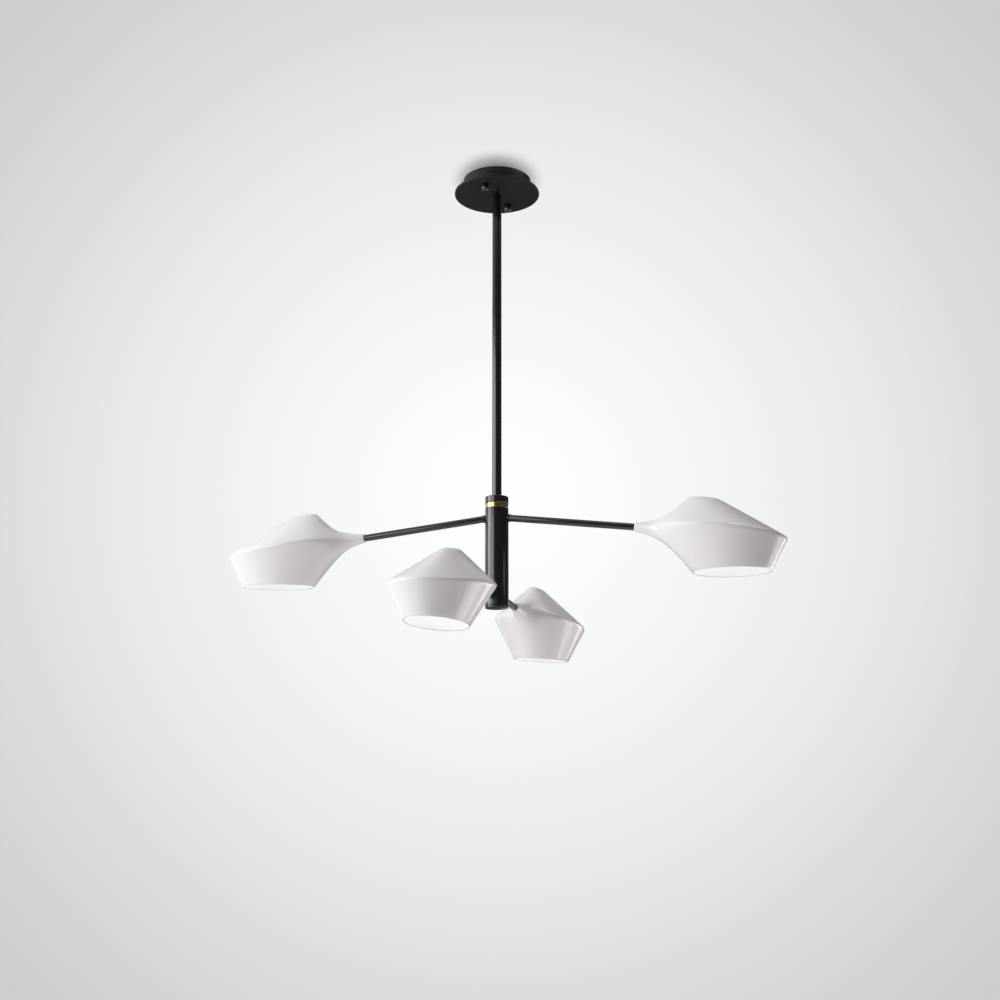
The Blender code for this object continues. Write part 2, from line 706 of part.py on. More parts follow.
def shade_cage():
    """The shade's coarse skin: ovals from top to rim, with the neck let into the narrow end."""
    shape = bmesh.new()
    crease = shape.edges.layers.float.new("crease_edge")
    loops = [oval_loop(shape, loop) for loop in (
        TOP_LOOP, blend(BELT_LOOP, TOP_LOOP, UPPER_BLEND), BELT_LOOP,
        blend(BELT_LOOP, RIM_LOOP, LOWER_BLEND), RIM_LOOP,
    )]
    top, upper, belt, lower, _ = loops
    shape.faces.new(top)
    for first, second in zip(loops, loops[1:]):
        bridge(shape, first, second)
    back = SHADE_SIDES // 2
    shape.verts.remove(belt[back])
    left, right = back - 1, back + 1
    mouth = [belt[left], upper[left], upper[back], upper[right],
             belt[right], lower[right], lower[back], lower[left]]
    rings = [mouth] + [neck_ring(shape, along, radius) for along, radius in NECK_RINGS]
    for first, second in zip(rings, rings[1:]):
        bridge(shape, first, second)
    for first, second in zip(top, top[1:] + top[:1]):
        shape.edges.get((first, second))[crease] = TOP_CREASE
    for number in range(SHADE_SIDES):
        after = (number + 1) % SHADE_SIDES
        if back in (number, after):
            continue
        near_neck = left in (number, after) or right in (number, after)
        edge = shape.edges.get((belt[number], belt[after]))
        edge[crease] = FADING_CREASE if near_neck else BELT_CREASE
    return shape


def add_shade(name, frame):
    """Smooth the cage and give it its wall."""
    shade = add_mesh(name, shade_cage(), WHITE, frame)
    smooth = shade.modifiers.new("round", "SUBSURF")
    smooth.levels = SHADE_LEVELS
    smooth.render_levels = SHADE_LEVELS
    wall = shade.modifiers.new("wall", "SOLIDIFY")
    wall.thickness = SHADE_WALL * MM
    wall.offset = -1.0
    wall.use_even_offset = True
    return shade


def main():
    """Build the whole chandelier."""
    clear_objects()
    add_canopy()
    swivel = add_empty("rod_swivel")
    add_downrod(swivel)
    arm_lines = [
        (Vector((0.0, 0.0, arm_axis_height(name))),
         arm_matrix(turn, slope) @ Vector((1.0, 0.0, 0.0)))
        for name, turn, slope, _, _ in ARMS
    ]
    add_hub(swivel, arm_lines)
    for arm in ARMS:
        add_arm(*arm, swivel)


main()
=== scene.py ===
"""Looks of the multi arm chandelier: fine pieces, materials, studio and camera.

The scene is in the frame's own metres: the ceiling is z = 0, the right arm points along X and the
front is towards -Y. The light's own sizes are in millimetres, as in the CAD, and become metres
where the meshes are made. The arms' places come from the frame's joints.
"""

import json
import math

import bmesh
import bpy
from mathutils import Matrix, Vector


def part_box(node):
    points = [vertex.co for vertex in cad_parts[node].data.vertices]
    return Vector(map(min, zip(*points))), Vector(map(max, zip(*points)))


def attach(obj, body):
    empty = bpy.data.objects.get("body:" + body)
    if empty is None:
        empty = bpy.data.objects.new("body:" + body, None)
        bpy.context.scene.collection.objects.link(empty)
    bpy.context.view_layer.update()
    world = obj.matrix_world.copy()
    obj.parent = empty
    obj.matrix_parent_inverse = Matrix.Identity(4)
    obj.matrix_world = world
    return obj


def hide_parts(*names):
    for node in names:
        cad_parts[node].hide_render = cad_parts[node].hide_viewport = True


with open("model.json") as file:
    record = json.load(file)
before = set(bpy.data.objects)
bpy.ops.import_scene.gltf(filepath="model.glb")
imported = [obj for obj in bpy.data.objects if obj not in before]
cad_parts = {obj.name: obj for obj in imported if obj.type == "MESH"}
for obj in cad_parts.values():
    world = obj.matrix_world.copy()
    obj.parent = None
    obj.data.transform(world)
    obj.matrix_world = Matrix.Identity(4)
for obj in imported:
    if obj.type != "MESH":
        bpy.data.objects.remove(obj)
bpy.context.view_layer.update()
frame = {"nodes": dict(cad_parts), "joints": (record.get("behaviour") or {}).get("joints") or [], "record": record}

MM = 0.001
GAP = 0.3                      # clearance kept between pieces that touch

# Canopy
PLATE_RADIUS = 60.0
PLATE_THICKNESS = 3.0
PLATE_BOTTOM = -21.2
PLATE_TOP = PLATE_BOTTOM + PLATE_THICKNESS
PLATE_EDGE = 0.9
DRUM_RADIUS = 48.0
DRUM_WALL = 1.2
DRUM_FLANGE = 6.0
DRUM_EDGE = 0.5
CANOPY_SIDES = 128
STUD_OFFSET = 37.0             # from the middle of the bracket
STUD_RADIUS = 2.4
STUD_CORE = 2.1
STUD_PITCH = 0.8
STUD_TOP = -2.3
STUD_REACH = 5.0               # below the plate, inside the cap nut
STUD_END = PLATE_BOTTOM - STUD_REACH
STUD_SHOULDER_RADIUS = 4.0
STUD_SHOULDER_THICKNESS = 1.5
STUD_EDGE = 0.3
STUD_SIDES = 32
CAP_NUT_RADIUS = 5.5
CAP_NUT_HEIGHT = 9.5
CAP_NUT_SKIRT = 4.5            # straight part above the dome
CAP_NUT_EDGE = 0.5
CAP_NUT_GROOVE = 3.6           # from the nut's top to its groove
GROOVE_WIDTH = 0.7
GROOVE_DEPTH = 0.35
DOME_STEPS = 12
CAP_NUT_SIDES = 64

# Rod and hub
ROD_RADIUS = 6.4
ROD_BORE = 4.6
ROD_TOP = -8.5
ROD_REACH = 25.0               # below the top of the hub
ROD_EDGE = 0.4
ROD_SIDES = 64
HUB_TOP = -463.3
HUB_LENGTH = 151.0
HUB_BOTTOM = HUB_TOP - HUB_LENGTH
HUB_RADIUS = 15.7
HUB_WALL = 1.5
HUB_BORE = HUB_RADIUS - HUB_WALL
HUB_CAP_HEIGHT = 8.8
HUB_CAP_BOTTOM = HUB_TOP - HUB_CAP_HEIGHT
HUB_CAP_EDGE = 1.0
BRASS_HEIGHT = 7.4
BRASS_BOTTOM = HUB_CAP_BOTTOM - BRASS_HEIGHT
BRASS_RADIUS = 15.4
BRASS_EDGE = 0.3
BOTTOM_CAP_THICKNESS = 2.5
BOTTOM_CAP_EDGE = 0.8
HUB_TUBE_END = HUB_BOTTOM + BOTTOM_CAP_THICKNESS + GAP
HUB_TUBE_EDGE = 0.4
PLUG_RADIUS = HUB_BORE - GAP   # of the parts of both caps that reach into the tube
TOP_PLUG_END = BRASS_BOTTOM - 3.8
BOTTOM_PLUG_END = HUB_TUBE_END + 3.0
HUB_SIDES = 96
CAP_SCREW_HOLE = 2.0
CAP_SCREW_HEAD = 3.2
CAP_SCREW_CROWN = 2.3
CAP_SCREW_RECESS = 1.2
CAP_SCREW_DEPTH = 1.6          # of the head below the hub
CAP_SCREW_EDGE = 0.2
CAP_SCREW_SIDES = 32

# Arms
ARM_RADIUS = 4.6
ARM_BORE = 3.5
ARM_ROOT = 8.8                 # from the hub's axis to the inner end of the tube
ARM_EDGE = 0.6
COLLAR_RADIUS = 5.6
COLLAR_START = 1.0             # from the hub's face
COLLAR_THICKNESS = 1.5
COLLAR_EDGE = 0.4
ARM_SIDES = 48                 # also of the lamps

# Lamps: places along the arm are from its end, outwards
NIPPLE_RADIUS = 3.1
NIPPLE_CORE = 2.85
NIPPLE_PITCH = 0.75
NIPPLE_BORE = 2.0
NIPPLE_START = -18.0
NIPPLE_END = 27.0
NIPPLE_SIDES = 24
CONE_NUT_START = 14.0
CONE_NUT_END = 21.0
CONE_NUT_NARROW = 5.4
CONE_NUT_WIDE = 7.2
CONE_NUT_FLANGE = 1.5
CONE_NUT_EDGE = 0.3
HOLDER_START = 25.5
HOLDER_END = 48.0
HOLDER_RADIUS = 7.6
HOLDER_SHOULDER = 2.0
HOLDER_GROOVE_START = 33.0
HOLDER_GROOVE_END = 35.8
HOLDER_GROOVE_DEPTH = 0.5
HOLDER_EDGE = 0.4
SOCKET_BOTTOM = 40.0
SOCKET_RADIUS = 3.6
WIRE_HOLE = 1.4
BULB_START = 42.0
BULB_END = 92.0
BULB_BASE = 3.3
BULB_NECK = 4.6
BULB_SHOULDER = 52.0           # where the skirt reaches its full radius
BULB_SKIRT = 6.8
BULB_SKIRT_END = 58.0
BULB_RADIUS = 6.5
BULB_ROUNDING = 5.0            # length of the cover's round end
BULB_EDGE = 1.2

# Shades
SHADE_WALL = 1.5
SHADE_RIM_EDGE = 0.35
SHADE_SIDES = 16
SHADE_LEVELS = 3
# loops: centre along the arm, half length, half width, height, rise per unit of length
TOP_LOOP = (85.8, 19.5, 9.5, 44.6, 0.0)
BELT_LOOP = (112.6, 84.2, 63.0, 0.0, 0.0)
RIM_LOOP = (131.0, 49.5, 37.7, -49.4, 0.125)
UPPER_BLEND = 0.42             # where the loop between the belt and the top sits
LOWER_BLEND = 0.42             # where the loop between the belt and the rim sits
NECK_SIDES = 8
NECK_RINGS = ((28.0, 11.6), (14.0, 8.3), (0.0, 5.8))     # place along the arm, radius
TOP_CREASE = 0.5
BELT_CREASE = 0.55
FADING_CREASE = 0.35           # of the belt, next to the neck
# turn of each shade on its nipple at rest, in degrees
SHADE_TURNS = {"right": 0.0, "left": -3.5, "front": -2.0, "back": 4.0}

# Camera: it stands below the shades and looks up at the whole light (metres, degrees)
CAMERA_TURN = 14.9             # round the downrod, from the front towards the right
CAMERA_DISTANCE = 1.795
CAMERA_HEIGHT = -0.8956
CAMERA_PITCH = 13.43           # above level
CAMERA_YAW = 0.137             # to the right of the downrod
CAMERA_LENS = 49.3             # focal length and sensor width in millimetres
CAMERA_SENSOR = 36.0

# Studio, in metres
AIM = Vector((0.0, 0.0, -0.52))
COOL = (0.974, 0.974, 1.0)
NEUTRAL = (1.0, 1.0, 1.0)
ROSY = (1.0, 0.965, 0.97)
# Soft boxes: name, degrees round from the front towards the right, degrees above level,
# distance, width, height, brightness, colour
LIGHTS = (
    ("key_left", -65.0, 8.0, 2.4, 1.4, 1.6, 5.8, COOL),
    ("key_front", -30.0, 8.0, 2.4, 1.2, 1.4, 3.5, COOL),
    ("wrap_left", -100.0, 8.0, 2.4, 1.4, 1.6, 0.8, COOL),
    ("wrap_back", -135.0, 8.0, 2.4, 1.4, 1.6, 0.8, NEUTRAL),
    ("high_left", -60.0, 45.0, 2.4, 2.0, 1.2, 0.55, COOL),
    ("high_front", 0.0, 55.0, 2.4, 1.6, 1.2, 0.55, ROSY),
    ("high_back", -120.0, 45.0, 2.4, 2.0, 1.2, 0.5, COOL),
    ("high_right", 100.0, 58.0, 2.4, 1.5, 1.2, 2.1, ROSY),
    ("high_rear", -170.0, 35.0, 2.4, 1.4, 1.2, 0.5, ROSY),
    ("low_front", -20.0, -30.0, 2.4, 1.6, 0.9, 0.45, NEUTRAL),
    ("low_right", 122.0, -25.0, 2.4, 1.1, 1.0, 3.6, ROSY),
    ("low_rear", 150.0, -30.0, 2.4, 1.0, 1.0, 0.4, ROSY),
    ("edge_right", 147.0, -10.0, 2.6, 1.2, 0.55, 3.8, NEUTRAL),
    ("overhead", 0.0, 89.0, 2.4, 2.4, 2.4, 0.75, ROSY),
)
# Brightness of the backdrop, by angle in degrees from the middle of the picture
BACKDROP = ((0.0, 1.0), (4.2, 0.968), (10.4, 0.888), (16.3, 0.8), (19.7, 0.727), (26.7, 0.61),
            (50.0, 0.72))
BACKDROP_BLUE = 1.012
AMBIENT = (0.1, 0.09, 0.09)
FLOOR_HEIGHT = -2.3
FLOOR_RADIUS = 4.0
FLOOR_FADE = 0.45              # share of the radius where the floor starts to fade
SHADOW_HALF_WIDTH = 0.07       # on the ceiling, across and along the camera's direction
SHADOW_HALF_LENGTH = 0.1
SHADOW_LIFT = 0.0005
# Share of the light that the ceiling keeps, by share of the shadow's radius
SHADOW_STOPS = ((0.5, 0.3), (0.7, 0.6), (0.82, 0.84), (0.92, 0.96), (1.0, 1.0))


# Materials ---------------------------------------------------------------------------------


class Finish:
    """A material under construction: its nodes, its links and its Principled shader."""

    def __init__(self, name, colour, roughness, metallic=0.0):
        self.material = bpy.data.materials.new(name)
        self.material.use_nodes = True
        self.material.diffuse_color = (*colour, 1.0)
        self.tree = self.material.node_tree
        self.shader = self.tree.nodes["Principled BSDF"]
        self.set("Base Color", (*colour, 1.0))
        self.set("Roughness", roughness)
        self.set("Metallic", metallic)
        self.where = self.node("ShaderNodeTexCoord").outputs["Object"]

    def set(self, socket, value):
        """Give one of the shader's own sockets a fixed value."""
        self.shader.inputs[socket].default_value = value

    def node(self, kind, **values):
        """Add a node and set its properties."""
        made = self.tree.nodes.new(kind)
        for name, value in values.items():
            setattr(made, name, value)
        return made

    def link(self, source, target):
        """Connect an output to an input."""
        self.tree.links.new(source, target)

    def noise(self, scale, detail=3.0, stretch=(1.0, 1.0, 1.0)):
        """Noise over the object; scale is in features per metre."""
        mapping = self.node("ShaderNodeMapping")
        mapping.inputs["Scale"].default_value = stretch
        self.link(self.where, mapping.inputs["Vector"])
        texture = self.node("ShaderNodeTexNoise")
        texture.inputs["Scale"].default_value = scale
        texture.inputs["Detail"].default_value = detail
        self.link(mapping.outputs["Vector"], texture.inputs["Vector"])
        return texture.outputs["Fac"]

    def vary_roughness(self, pattern, low, high):
        """Let the roughness follow the middle range of a pattern."""
        mapper = self.node("ShaderNodeMapRange")
        mapper.inputs["From Min"].default_value = 0.3
        mapper.inputs["From Max"].default_value = 0.7
        mapper.inputs["To Min"].default_value = low
        mapper.inputs["To Max"].default_value = high
        self.link(pattern, mapper.inputs["Value"])
        self.link(mapper.outputs["Result"], self.shader.inputs["Roughness"])

    def vary_colour(self, pattern, first, second):
        """Let the colour follow the middle range of a pattern."""
        ramp = self.node("ShaderNodeValToRGB")
        set_stops(ramp, ((0.3, first), (0.7, second)))
        self.link(pattern, ramp.inputs["Fac"])
        self.link(ramp.outputs["Color"], self.shader.inputs["Base Color"])

    def bump(self, patterns):
        """Stack bumps: (pattern, height in metres) each."""
        normal = None
        for pattern, height in patterns:
            bump = self.node("ShaderNodeBump")
            bump.inputs["Strength"].default_value = 1.0
            bump.inputs["Distance"].default_value = height
            self.link(pattern, bump.inputs["Height"])
            if normal:
                self.link(normal, bump.inputs["Normal"])
            normal = bump.outputs["Normal"]
        self.link(normal, self.shader.inputs["Normal"])

    def glow(self, colour, strength):
        """Let the surface give light of its own."""
        self.set("Emission Color", (*colour, 1.0))
        self.set("Emission Strength", strength)


def set_stops(ramp, stops):
    """Give a colour ramp its (position, colour) stops."""
    elements = ramp.color_ramp.elements
    while len(elements) < len(stops):
        elements.new(0.5)
    for element, (position, colour) in zip(elements, stops):
        element.position = position
        element.color = (*colour, 1.0)


def black_satin(name, roughness, specular):
    """Satin powder coat: fine orange peel, a little uneven sheen."""
    coat = Finish(name, (0.007, 0.007, 0.0075), roughness)
    coat.set("Specular IOR Level", specular)
    coat.vary_roughness(coat.noise(60.0, 4.0), roughness * 0.9, roughness * 1.1)
    coat.vary_colour(coat.noise(220.0, 5.0), (0.006, 0.006, 0.0065), (0.009, 0.009, 0.0095))
    coat.bump([(coat.noise(1400.0, 2.0), 0.000004), (coat.noise(350.0, 2.0), 0.000005)])
    return coat.material


def white_gloss():
    """Glossy white enamel with a faint waviness of the pressed metal under it."""
    enamel = Finish("white_gloss", (0.84, 0.83, 0.827), 0.3)
    enamel.set("Specular IOR Level", 0.4)
    enamel.set("Coat Weight", 0.3)
    enamel.set("Coat Roughness", 0.11)
    enamel.vary_roughness(enamel.noise(45.0, 3.0), 0.28, 0.32)
    enamel.vary_colour(enamel.noise(25.0, 4.0), (0.835, 0.825, 0.822), (0.847, 0.837, 0.834))
    enamel.bump([(enamel.noise(900.0, 2.0), 0.000003), (enamel.noise(40.0, 1.0), 0.00002)])
    return enamel.material


def painted_glow_inside():
    """The inner face of a shade: matt white, with a painted glow that stands in for the bulb's light on it."""
    inside = Finish("white_inside_painted_glow", (0.8, 0.8, 0.8), 0.5)
    inside.vary_roughness(inside.noise(80.0, 3.0), 0.42, 0.58)
    inside.vary_colour(inside.noise(30.0, 3.0), (0.79, 0.79, 0.79), (0.81, 0.81, 0.81))
    inside.bump([(inside.noise(700.0, 2.0), 0.00001)])
    # painted light: this glow stands in for the bulb lighting the inner face
    inside.glow((1.0, 1.0, 1.0), 0.24)
    return inside.material


def brass():
    """Turned brass: fine rings from the lathe, slightly tarnished."""
    metal = Finish("brass", (0.5, 0.36, 0.16), 0.22, 1.0)
    rings = metal.noise(1.0, 2.0, (60.0, 60.0, 5200.0))
    metal.vary_roughness(metal.noise(160.0, 4.0), 0.18, 0.28)
    metal.vary_colour(metal.noise(120.0, 4.0), (0.44, 0.32, 0.135), (0.56, 0.42, 0.19))
    metal.bump([(rings, 0.000012)])
    return metal.material


def zinc():
    """Zinc plated steel: cool grey, mottled passivation, faint drawing lines."""
    metal = Finish("zinc_steel", (0.55, 0.56, 0.56), 0.32, 1.0)
    metal.vary_roughness(metal.noise(240.0, 4.0), 0.24, 0.42)
    metal.vary_colour(metal.noise(90.0, 4.0), (0.48, 0.49, 0.5), (0.62, 0.61, 0.57))
    metal.bump([(metal.noise(1.0, 2.0, (300.0, 3000.0, 3000.0)), 0.00001)])
    return metal.material


def ceramic():
    """Unglazed steatite of the lampholder: chalky and slightly speckled."""
    clay = Finish("holder_ceramic", (0.86, 0.84, 0.78), 0.5)
    clay.vary_roughness(clay.noise(300.0, 4.0), 0.42, 0.6)
    clay.vary_colour(clay.noise(500.0, 5.0), (0.82, 0.8, 0.73), (0.89, 0.87, 0.82))
    clay.bump([(clay.noise(1200.0, 3.0), 0.00003)])
    return clay.material


def bulb_glass():
    """Frosted bulb cover, lit."""
    glass = Finish("bulb_frosted", (0.95, 0.93, 0.88), 0.35)
    glass.vary_roughness(glass.noise(400.0, 3.0), 0.3, 0.45)
    glass.vary_colour(glass.noise(150.0, 3.0), (0.93, 0.91, 0.86), (0.97, 0.95, 0.91))
    glass.bump([(glass.noise(1500.0, 2.0), 0.00001)])
    glass.glow((1.0, 0.98, 0.95), 1.0)
    return glass.material


def plastic(name, light, dark):
    """Moulded plastic with a fine grain."""
    moulded = Finish(name, light, 0.48)
    moulded.vary_roughness(moulded.noise(300.0, 3.0), 0.42, 0.55)
    moulded.vary_colour(moulded.noise(120.0, 3.0), dark, light)
    moulded.bump([(moulded.noise(1600.0, 2.0), 0.00002)])
    return moulded.material


BLACK = black_satin("black_satin", 0.19, 0.72)
BLACK_MATT = black_satin("black_matt", 0.42, 0.3)
WHITE = white_gloss()
INSIDE_PAINTED_GLOW = painted_glow_inside()
BRASS = brass()
ZINC = zinc()
CERAMIC = ceramic()
BULB = bulb_glass()
BLOCK = plastic("terminal_plastic", (0.78, 0.78, 0.74), (0.7, 0.7, 0.66))
CABLE = plastic("cable_pvc", (0.7, 0.7, 0.69), (0.62, 0.62, 0.61))
SLOTS = {
    "black_satin": BLACK, "white_gloss": WHITE, "brass": BRASS, "zinc_steel": ZINC,
    "holder_ceramic": CERAMIC, "bulb_frosted": BULB, "terminal_plastic": BLOCK,
    "cable_pvc": CABLE,
}


# Modelling helpers -------------------------------------------------------------------------


def body_of(node):
    """Name of the body that holds a CAD node."""
    for body, members in frame["record"]["behaviour"]["bodies"].items():
        if node in members:
            return body
    return None


def slot_of(node):
    """Material slot of a CAD node."""
    for part in frame["record"]["subparts"]:
        if part["node"] == node:
            return part["material_slot"]
    return None


def stand_for(piece, node):
    """Let a fine piece replace a CAD node, on the same body."""
    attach(piece, body_of(node))
    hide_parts(node)


def add_mesh(name, shape, material, place=None, sharp=35.0):
    """Turn a bmesh into a smooth object; edges bent by more than sharp degrees stay crisp."""
    bmesh.ops.recalc_face_normals(shape, faces=shape.faces[:])
    data = bpy.data.meshes.new(name)
    shape.to_mesh(data)
    shape.free()
    data.shade_smooth()
    if sharp is not None:
        data.set_sharp_from_angle(angle=math.radians(sharp))
    data.materials.append(material)
    piece = bpy.data.objects.new(name, data)
    bpy.context.scene.collection.objects.link(piece)
    if place is not None:
        piece.matrix_world = place
    return piece


def rounded(outline, radius, steps=3):
    """Round the corners of an open outline of (along, radius) points."""
    points = [Vector(point) for point in outline]
    result = [points[0]]
    for before, corner, after in zip(points, points[1:], points[2:]):
        back = before - corner
        ahead = after - corner
        reach = min(radius, back.length * 0.45, ahead.length * 0.45)
        start = corner + back.normalized() * reach
        end = corner + ahead.normalized() * reach
        for step in range(steps + 1):
            share = step / steps
            result.append(start.lerp(corner, share).lerp(corner.lerp(end, share), share))
    result.append(points[-1])
    return [tuple(point) for point in result]


def ring_outline(start, end, inner, outer, edge, steps=3):
    """Outline of a tube, plate or ring with rounded outer edges."""
    return rounded(((start, inner), (start, outer), (end, outer), (end, inner)), edge, steps)


def thread(low, high, outer, inner, pitch):
    """Outline points of a thread's rings between two places."""
    points = []
    for number in range(int((high - low) / pitch)):
        start = low + number * pitch
        points.append((start, inner))
        points.append((start + pitch * 0.5, outer))
    points.append((high, inner))
    return points


def add_turned(node, outline, axis, material, sides, place=None, sharp=35.0):
    """Spin an outline of (along, radius) points about X or Z, to replace a CAD node.

    An outline whose ends are not on the axis is closed on itself, as a ring.
    """
    shape = bmesh.new()
    if axis == "X":
        points = [Vector((along, 0.0, radius)) * MM for along, radius in outline]
        spin_axis = (1.0, 0.0, 0.0)
    else:
        points = [Vector((radius, 0.0, along)) * MM for along, radius in outline]
        spin_axis = (0.0, 0.0, 1.0)
    verts = [shape.verts.new(point) for point in points]
    for first, second in zip(verts, verts[1:]):
        shape.edges.new((first, second))
    if outline[0][1] > 0.0 or outline[-1][1] > 0.0:
        shape.edges.new((verts[-1], verts[0]))
    bmesh.ops.spin(
        shape, geom=shape.verts[:] + shape.edges[:], cent=(0.0, 0.0, 0.0), axis=spin_axis,
        dvec=(0.0, 0.0, 0.0), angle=math.tau, steps=sides, use_merge=True, use_duplicate=False,
    )
    bmesh.ops.remove_doubles(shape, verts=shape.verts[:], dist=0.0005 * MM)
    piece = add_mesh(f"fine_{node}", shape, material, place, sharp)
    stand_for(piece, node)


# Canopy ------------------------------------------------------------------------------------


def add_plate():
    """The disc under the drum."""
    outline = ring_outline(
        PLATE_TOP, PLATE_BOTTOM, ROD_RADIUS + GAP, PLATE_RADIUS, PLATE_EDGE, 4,
    )
    add_turned("canopy_plate", outline, "Z", BLACK_MATT, CANOPY_SIDES)


def add_drum():
    """The cup against the ceiling, with its inner flange on the plate."""
    bottom = PLATE_TOP + GAP
    flange = DRUM_RADIUS - DRUM_FLANGE
    outline = rounded(
        (
            (0.0, DRUM_RADIUS - DRUM_WALL), (0.0, DRUM_RADIUS), (bottom, DRUM_RADIUS),
            (bottom, flange), (bottom + DRUM_WALL, flange),
            (bottom + DRUM_WALL, DRUM_RADIUS - DRUM_WALL),
        ), DRUM_EDGE,
    )
    add_turned("canopy_drum", outline, "Z", BLACK_MATT, CANOPY_SIDES)


def add_cap_nut(number, place):
    """Round cap nut: a grooved skirt with a dome under it."""
    top = PLATE_BOTTOM - GAP
    bore = STUD_RADIUS + GAP
    bore_end = STUD_END - 2.0 * GAP
    neck = CAP_NUT_RADIUS - GROOVE_DEPTH
    groove = top - CAP_NUT_GROOVE
    outline = [
        (bore_end, 0.0), (bore_end, bore), (top, bore),
        (top, CAP_NUT_RADIUS - CAP_NUT_EDGE), (top - 0.2, CAP_NUT_RADIUS - 0.15),
        (top - 0.6, CAP_NUT_RADIUS), (groove, CAP_NUT_RADIUS),
        (groove - 0.2, neck), (groove - GROOVE_WIDTH + 0.2, neck),
        (groove - GROOVE_WIDTH, CAP_NUT_RADIUS),
    ]
    for step in range(DOME_STEPS):
        angle = math.pi / 2.0 * step / DOME_STEPS
        drop = (CAP_NUT_HEIGHT - CAP_NUT_SKIRT) * math.sin(angle)
        outline.append((top - CAP_NUT_SKIRT - drop, CAP_NUT_RADIUS * math.cos(angle)))
    outline.append((top - CAP_NUT_HEIGHT, 0.0))
    add_turned(f"cap_nut_{number}", outline, "Z", BLACK, CAP_NUT_SIDES, place, 50.0)


def add_stud(number, place):
    """Threaded stud with its shoulder."""
    shoulder_end = STUD_TOP - STUD_SHOULDER_THICKNESS
    shoulder = rounded(
        (
            (shoulder_end, STUD_CORE), (shoulder_end, STUD_SHOULDER_RADIUS),
            (STUD_TOP, STUD_SHOULDER_RADIUS), (STUD_TOP, 0.0),
        ), STUD_EDGE,
    )
    shank = thread(STUD_END, shoulder_end, STUD_RADIUS, STUD_CORE, STUD_PITCH)
    outline = [(STUD_END, 0.0)] + shank + shoulder[1:]
    add_turned(f"bracket_stud_{number}", outline, "Z", ZINC, STUD_SIDES, place)


def bracket_place():
    """Frame of the bracket: X along the bar, worked out from the two studs."""
    low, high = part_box("bracket_stud_1")
    first = (low + high) / 2.0
    low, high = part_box("bracket_stud_2")
    second = (low + high) / 2.0
    return Matrix.Rotation(math.atan2(second.y - first.y, second.x - first.x), 4, "Z")


def add_canopy():
    """Plate, drum, and a stud with its cap nut at each end of the bracket."""
    add_plate()
    add_drum()
    bracket = bracket_place()
    for number, side in ((1, -1.0), (2, 1.0)):
        place = bracket @ Matrix.Translation(Vector((side * STUD_OFFSET, 0.0, 0.0)) * MM)
        add_cap_nut(number, place)
        add_stud(number, place)


# Rod and hub -------------------------------------------------------------------------------


def add_rod():
    """The plain downrod."""
    outline = ring_outline(HUB_TOP - ROD_REACH, ROD_TOP, ROD_BORE, ROD_RADIUS, ROD_EDGE)
    add_turned("downrod", outline, "Z", BLACK, ROD_SIDES)


def add_hub_cap():
    """The top of the hub, with a plug through the brass ring into the tube."""
    outline = rounded(
        (
            (HUB_TOP, ROD_RADIUS + GAP), (HUB_TOP, HUB_RADIUS), (HUB_CAP_BOTTOM, HUB_RADIUS),
            (HUB_CAP_BOTTOM, PLUG_RADIUS), (TOP_PLUG_END, PLUG_RADIUS),
            (TOP_PLUG_END, ROD_RADIUS + GAP),
        ), HUB_CAP_EDGE, 5,
    )
    add_turned("hub_cap", outline, "Z", BLACK, HUB_SIDES)


def add_brass_ring():
    """The ring between the hub's cap and its tube."""
    outline = ring_outline(
        BRASS_BOTTOM + GAP, HUB_CAP_BOTTOM - GAP, HUB_BORE, BRASS_RADIUS, BRASS_EDGE,
    )
    add_turned("brass_ring", outline, "Z", BRASS, HUB_SIDES)


def add_hub_tube():
    """The long tube that carries the arms."""
    outline = ring_outline(HUB_TUBE_END, BRASS_BOTTOM, HUB_BORE, HUB_RADIUS, HUB_TUBE_EDGE)
    add_turned("hub_tube", outline, "Z", BLACK, HUB_SIDES)


def add_bottom_cap():
    """The lower end of the hub, plugged into the tube."""
    face = HUB_TUBE_END - GAP
    outline = rounded(
        (
            (BOTTOM_PLUG_END, CAP_SCREW_HOLE), (BOTTOM_PLUG_END, PLUG_RADIUS),
            (face, PLUG_RADIUS), (face, HUB_RADIUS), (HUB_BOTTOM, HUB_RADIUS),
            (HUB_BOTTOM, CAP_SCREW_HOLE),
        ), BOTTOM_CAP_EDGE, 4,
    )
    add_turned("hub_bottom_cap", outline, "Z", BLACK, HUB_SIDES)


def add_bottom_screw():
    """The pan head screw that holds the bottom cap, with a round recess in its head."""
    head = HUB_BOTTOM - CAP_SCREW_DEPTH
    shank = CAP_SCREW_HOLE - GAP
    end = BOTTOM_PLUG_END + CAP_SCREW_HOLE
    outline = rounded(
        (
            (head + 1.0, 0.0), (head + 1.0, CAP_SCREW_RECESS), (head, CAP_SCREW_RECESS + 0.1),
            (head + 0.2, CAP_SCREW_CROWN), (HUB_BOTTOM - GAP, CAP_SCREW_HEAD),
            (HUB_BOTTOM - GAP, shank), (end, shank), (end, 0.0),
        ), CAP_SCREW_EDGE,
    )
    add_turned("bottom_cap_screw", outline, "Z", BLACK, CAP_SCREW_SIDES)


def add_hub():
    """Cap, brass ring, tube, bottom cap and its screw."""
    add_hub_cap()
    add_brass_ring()
    add_hub_tube()
    add_bottom_cap()
    add_bottom_screw()


# Arms and lamps ----------------------------------------------------------------------------


def arm_places():
    """Frame of each arm's end: X outwards along the arm, Z up, from the shades' joints."""
    places = {}
    for joint in frame["joints"]:
        if not joint["name"].endswith("_shade_turn"):
            continue
        outwards = Vector(joint["axis"]).normalized()
        sideways = Vector((0.0, 0.0, 1.0)).cross(outwards).normalized()
        upwards = outwards.cross(sideways)
        place = Matrix((outwards, sideways, upwards)).transposed().to_4x4()
        place.translation = Vector(joint["pos_m"])
        places[joint["name"].split("_")[0]] = place
    return places


